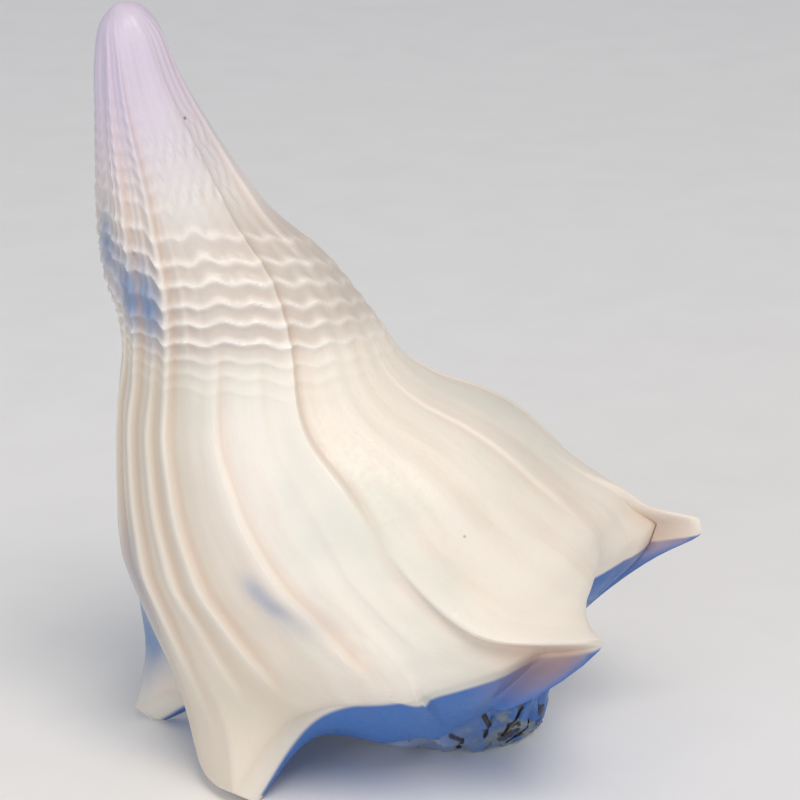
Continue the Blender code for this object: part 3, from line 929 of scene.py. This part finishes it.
def bleached_shell_material(colours):
    """Aragonite shell bleached by the sun: chalky cream, with painted highlights on its crests and painted
    shade in its hollows and on the ramp.
    """
    material, tree, shader, where = new_material("sun-bleached aragonite shell")
    tone = {name: linear_colour(getattr(colours, name)) for name in colours.__annotations__}
    bands = growth_bands(tree)
    # Soft clouds about 35 mm across, and chalky grain about 1 mm across.
    clouds = noise(tree, where, 28.0, 3.0)
    grain = noise(tree, where, 700.0, 4.0)
    soot = soot_places(tree, where)
    # From the bottom up: a tone, where it lies, and how strongly.
    layers = (
        ("blush", ramp_between(tree, bands, 0.42, 0.72), 0.75),
        ("grey", ramp_between(tree, clouds, 0.45, 0.7), 0.55),
        # Darker sand on the pleated left side: partly its own tone, partly painted side shade.
        ("sand_and_side_shade", attribute(tree, "pleated"), 0.6),
        # Painted shade over the cord band, then painted highlights on the cord crests.
        ("cord_trough_shade", attribute(tree, "cord_shade_band"), 0.7),
        # Painted highlight: lighter cream along the crests of spines and folds.
        ("cream", attribute(tree, "crest"), 0.55),
        ("cord_crest_highlight", attribute(tree, "cord_highlight_mask"), 0.9),
        ("lilac", ramp_between(tree, attribute(tree, "height"), 0.80, 0.95), 0.85),
        # Painted blue shade on the ramp under the shoulder.
        ("ramp_blue_shade", ramp_shade_places(tree, clouds), 1.0),
        # Bluish patches: partly real stains, partly painted shade on the left side.
        ("stain_and_shade", attribute(tree, "stain_and_shade"), ramp_between(tree, clouds, 0.2, 0.5)),
        # Tan in the spine grooves, partly their own colour and partly painted shade, and painted crease shade
        # at the foot of each fold step.
        ("tan", attribute(tree, "groove"), 0.85),
        ("moss", moss_places(tree, where), 0.7),
        ("soot", soot, 1.0),
        ("soot", speck_places(tree, where), 0.6),
    )
    colour = tone["cream"]
    for name, share, strength in layers:
        colour = blend_colour(tree, calculate(tree, "MULTIPLY", share, strength), colour, tone[name])
    tree.links.new(colour, shader.inputs["Base Color"])
    tree.links.new(ramp_between(tree, grain, 0.3, 0.7, False, (0.34, 0.50)), shader.inputs["Roughness"])
    shader.inputs["IOR"].default_value = ARAGONITE_IOR
    # A little light goes through the thin rims.
    shader.inputs["Subsurface Weight"].default_value = 0.08
    shader.inputs["Subsurface Radius"].default_value = (0.004, 0.0025, 0.0018)
    normal = bump(tree, bands, 0.25, 0.0006)
    normal = bump(tree, grain, 0.35, 0.00025, normal)
    normal = bump(tree, calculate(tree, "MULTIPLY", soot, -1.0), 0.8, 0.0012, normal)
    tree.links.new(normal, shader.inputs["Normal"])
    return material


def lining_material(colours):
    """Smooth inner layer of the shell: satin peach, like unglazed porcelain rubbed by the body."""
    material, tree, shader, where = new_material("smooth shell lining")
    # Soft clouds about 40 mm across, and growth ripples about 3 mm apart.
    clouds = noise(tree, where, 24.0, 3.0)
    ripples = noise(tree, where, 300.0, 2.0)
    share = ramp_between(tree, clouds, 0.35, 0.68)
    colour = blend_colour(tree, share, linear_colour(colours.lining), linear_colour(colours.cream))
    tree.links.new(colour, shader.inputs["Base Color"])
    tree.links.new(ramp_between(tree, ripples, -1.0, 2.6, False), shader.inputs["Roughness"])
    tree.links.new(bump(tree, ripples, 0.2, 0.0004), shader.inputs["Normal"])
    shader.inputs["IOR"].default_value = ARAGONITE_IOR
    return material


def plain_floor_material():
    """Matt painted board: pale and even."""
    material, tree, shader, where = new_material("matt painted board")
    share = ramp_between(tree, noise(tree, where, 40.0, 3.0), 0.3, 0.7, False)
    colour = blend_colour(tree, share, linear_colour("#F4F4F3"), linear_colour("#F7F7F6"))
    tree.links.new(colour, shader.inputs["Base Color"])
    shader.inputs["Roughness"].default_value = 0.85
    return material


# The shell.

# Corners, in millimetres, of the box below the ground that is cut away, so that the shell stands
# on its worn flats, and the angle from which an edge of the surface is drawn sharp.
GROUND_LOW = (-150.0, -150.0, -40.0)
GROUND_HIGH = (150.0, 150.0, 0.0)
BOX_SIDES = ((0, 1, 3, 2), (4, 6, 7, 5), (0, 4, 5, 1), (2, 3, 7, 6), (0, 2, 6, 4), (1, 5, 7, 3))
SHARP_DEG = 50.0


def mesh_from(name, points, faces, values, finishes, finish=0):
    """An object from points in millimetres of the resting pose, its faces turned outward.

    finishes are its materials and finish the one that its faces take."""
    mesh = bpy.data.meshes.new(name)
    mesh.from_pydata((points * MM).tolist(), [], faces)
    for label, numbers in values.items():
        layer = mesh.attributes.new(label, "FLOAT", "POINT")
        layer.data.foreach_set("value", np.asarray(numbers, np.float32))
    work = bmesh.new()
    work.from_mesh(mesh)
    bmesh.ops.triangulate(work, faces=work.faces)
    bmesh.ops.recalc_face_normals(work, faces=work.faces)
    for face in work.faces:
        face.material_index = finish
    work.to_mesh(mesh)
    work.free()
    for material in finishes:
        mesh.materials.append(material)
    item = bpy.data.objects.new(name, mesh)
    bpy.context.scene.collection.objects.link(item)
    return item


def cut_away(item, cutter):
    """Take the cutter's volume out of the item for good."""
    modifier = item.modifiers.new("cut", "BOOLEAN")
    modifier.operation = "DIFFERENCE"
    modifier.solver = "EXACT"
    modifier.object = cutter
    view = bpy.context.evaluated_depsgraph_get()
    mesh = bpy.data.meshes.new_from_object(item.evaluated_get(view))
    item.modifiers.clear()
    item.data = mesh
    bpy.data.objects.remove(cutter, do_unlink=True)


def stand(points):
    """Points of the shell's own frame as they stand, in millimetres."""
    return posed(points) - np.array([STAND_X, STAND_Y, GROUND_Z])


class SHELL_OT_surface(bpy.types.Operator):
    """Build the fine surface of the shell."""

    bl_idname = "shell.surface"
    bl_label = "Shell surface"

    def execute(self, context):
        sizes = context.scene.shell_sizes
        colours = context.scene.shell_colours
        lines = growth_lines(sizes.line_step)
        shares = RAMP_FIRST_SHARE + (1.0 - RAMP_FIRST_SHARE) * np.linspace(0.0, 1.0, RAMP_ROWS)
        skin, faces, values = shell_skin(lines, shares, row_heights(sizes.rows), sizes.relief)
        finishes = (bleached_shell_material(colours), lining_material(colours))
        shell = mesh_from("shell_surface", stand(skin), faces, values, finishes)
        hollow, hollow_faces = hollow_skin(HOLLOW_SECTIONS, HOLLOW_ROWS)
        cut_away(shell, mesh_from("hollow", stand(hollow), hollow_faces, {}, finishes, 1))
        corners = np.array(list(itertools.product(*zip(GROUND_LOW, GROUND_HIGH))))
        cut_away(shell, mesh_from("ground", corners, BOX_SIDES, {}, finishes))
        shell.data.shade_smooth()
        shell.data.set_sharp_from_angle(angle=math.radians(SHARP_DEG))
        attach(shell, "root")
        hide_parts("conch_shell")
        return {"FINISHED"}


# Studio, in metres: the floor reaches FLOOR_HALF each way and curves up behind FLOOR_FLAT. The
# lights face the shell's axis LIT_Z millimetres up it: name, direction in camera axes, distance,
# size and colour of each. The camera sees VIEW_WIDTH at the axis, moved by CAMERA_SHIFT.
FLOOR_HALF = 2.2
FLOOR_CELLS = 24
FLOOR_FLAT = 1.0
FLOOR_CURVE = 0.9
FLOOR_GAP = 0.0004
AIR_COLOUR = "#EAEEF7"
AIR_STRENGTH = 0.50
LIT_Z = 60.0
KEY_LIGHT = ("key", (0.20, 0.60, 0.78), 1.6, 0.75, "#FFF4E6")
FILL_LIGHT = ("fill", (-0.50, -0.10, 0.86), 1.5, 0.9, "#E3EAFA")
SENSOR_MM = 36.0
VIEW_WIDTH = 0.188
CAMERA_SHIFT = (-0.00458, 0.0465)


class SHELL_OT_stage(bpy.types.Operator):
    """Build the floor, lights and camera."""

    bl_idname = "shell.stage"
    bl_label = "Stage"

    def execute(self, context):
        settings = context.scene.stage_settings
        add_floor()
        add_air()
        add_light(*KEY_LIGHT, settings.key_power)
        add_light(*FILL_LIGHT, settings.fill_power)
        add_camera(settings.distance)
        context.scene.view_settings.view_transform = "Standard"
        return {"FINISHED"}


def add_floor():
    """A plain pale floor that curves up far behind the shell."""
    work = bmesh.new()
    bmesh.ops.create_grid(work, x_segments=FLOOR_CELLS, y_segments=FLOOR_CELLS, size=FLOOR_HALF)
    for vertex in work.verts:
        vertex.co.z = -FLOOR_GAP + FLOOR_CURVE * max(0.0, vertex.co.y - FLOOR_FLAT) ** 2
    mesh = bpy.data.meshes.new("floor")
    work.to_mesh(mesh)
    work.free()
    mesh.materials.append(plain_floor_material())
    mesh.shade_smooth()
    floor = bpy.data.objects.new("floor", mesh)
    bpy.context.scene.collection.objects.link(floor)


def add_air():
    """Soft light from all round, as in a white studio."""
    world = bpy.data.worlds.new("studio air")
    world.use_nodes = True
    sky = world.node_tree.nodes["Background"]
    sky.inputs["Color"].default_value = linear_colour(AIR_COLOUR)
    sky.inputs["Strength"].default_value = AIR_STRENGTH
    bpy.context.scene.world = world


def camera_axes():
    """Directions right, up and toward the camera."""
    view = math.radians(VIEW_DEG)
    up = (0.0, math.sin(view), math.cos(view))
    back = (0.0, -math.cos(view), math.sin(view))
    return np.array([(1.0, 0.0, 0.0), up, back])


def look_from(item, place, axes):
    """Put an item at a place with its own axes along three directions."""
    matrix = Matrix.Identity(4)
    for column in range(3):
        for row in range(3):
            matrix[row][column] = axes[column][row]
        matrix[column][3] = place[column]
    item.matrix_world = matrix


def add_light(name, direction, distance, size, colour, power):
    """A soft square light that faces the shell from a direction given in camera axes."""
    data = bpy.data.lights.new(name, "AREA")
    data.energy = power
    data.size = size
    data.color = linear_colour(colour)[:3]
    item = bpy.data.objects.new(name, data)
    bpy.context.scene.collection.objects.link(item)
    target = stand(np.array([[0.0, 0.0, LIT_Z]]))[0] * MM
    back = np.array(direction) @ camera_axes()
    back = back / np.linalg.norm(back)
    side = np.cross((0.0, 0.0, 1.0), back)
    side = side / np.linalg.norm(side)
    look_from(item, target + back * distance, (side, np.cross(back, side), back))


def add_camera(distance):
    """The camera at the photograph's viewing angle."""
    data = bpy.data.cameras.new("camera")
    data.sensor_width = SENSOR_MM
    data.lens = SENSOR_MM * distance / VIEW_WIDTH
    item = bpy.data.objects.new("camera", data)
    bpy.context.scene.collection.objects.link(item)
    axes = camera_axes()
    base = stand(np.zeros((1, 3)))[0] * MM
    look_from(item, base + np.array((*CAMERA_SHIFT, distance)) @ axes, axes)
    bpy.context.scene.camera = item


# The add-on's panel and start.


class SHELL_PT_panel(bpy.types.Panel):
    """Lists the steps and their settings."""

    bl_label = "Conch shell"
    bl_idname = "SHELL_PT_panel"
    bl_space_type = "VIEW_3D"
    bl_region_type = "UI"
    bl_category = "Shell"

    def draw(self, context):
        scene = context.scene
        for group in (scene.shell_sizes, scene.shell_colours, scene.stage_settings):
            for name in group.__annotations__:
                self.layout.prop(group, name)
        self.layout.operator("shell.surface")
        self.layout.operator("shell.stage")


CLASSES = (ShellSizes, ShellColours, StageSettings, SHELL_OT_surface, SHELL_OT_stage, SHELL_PT_panel)


def register():
    """Add the classes and the settings of the scene."""
    for item in CLASSES:
        bpy.utils.register_class(item)
    bpy.types.Scene.shell_sizes = bpy.props.PointerProperty(type=ShellSizes)
    bpy.types.Scene.shell_colours = bpy.props.PointerProperty(type=ShellColours)
    bpy.types.Scene.stage_settings = bpy.props.PointerProperty(type=StageSettings)


def unregister():
    """Take the settings and the classes away again."""
    for name in ("shell_sizes", "shell_colours", "stage_settings"):
        delattr(bpy.types.Scene, name)
    for item in reversed(CLASSES):
        bpy.utils.unregister_class(item)


def main():
    """Build the shell and the stage."""
    register()
    bpy.ops.shell.surface()
    bpy.ops.shell.stage()


if __name__ == "__main__":
    main()
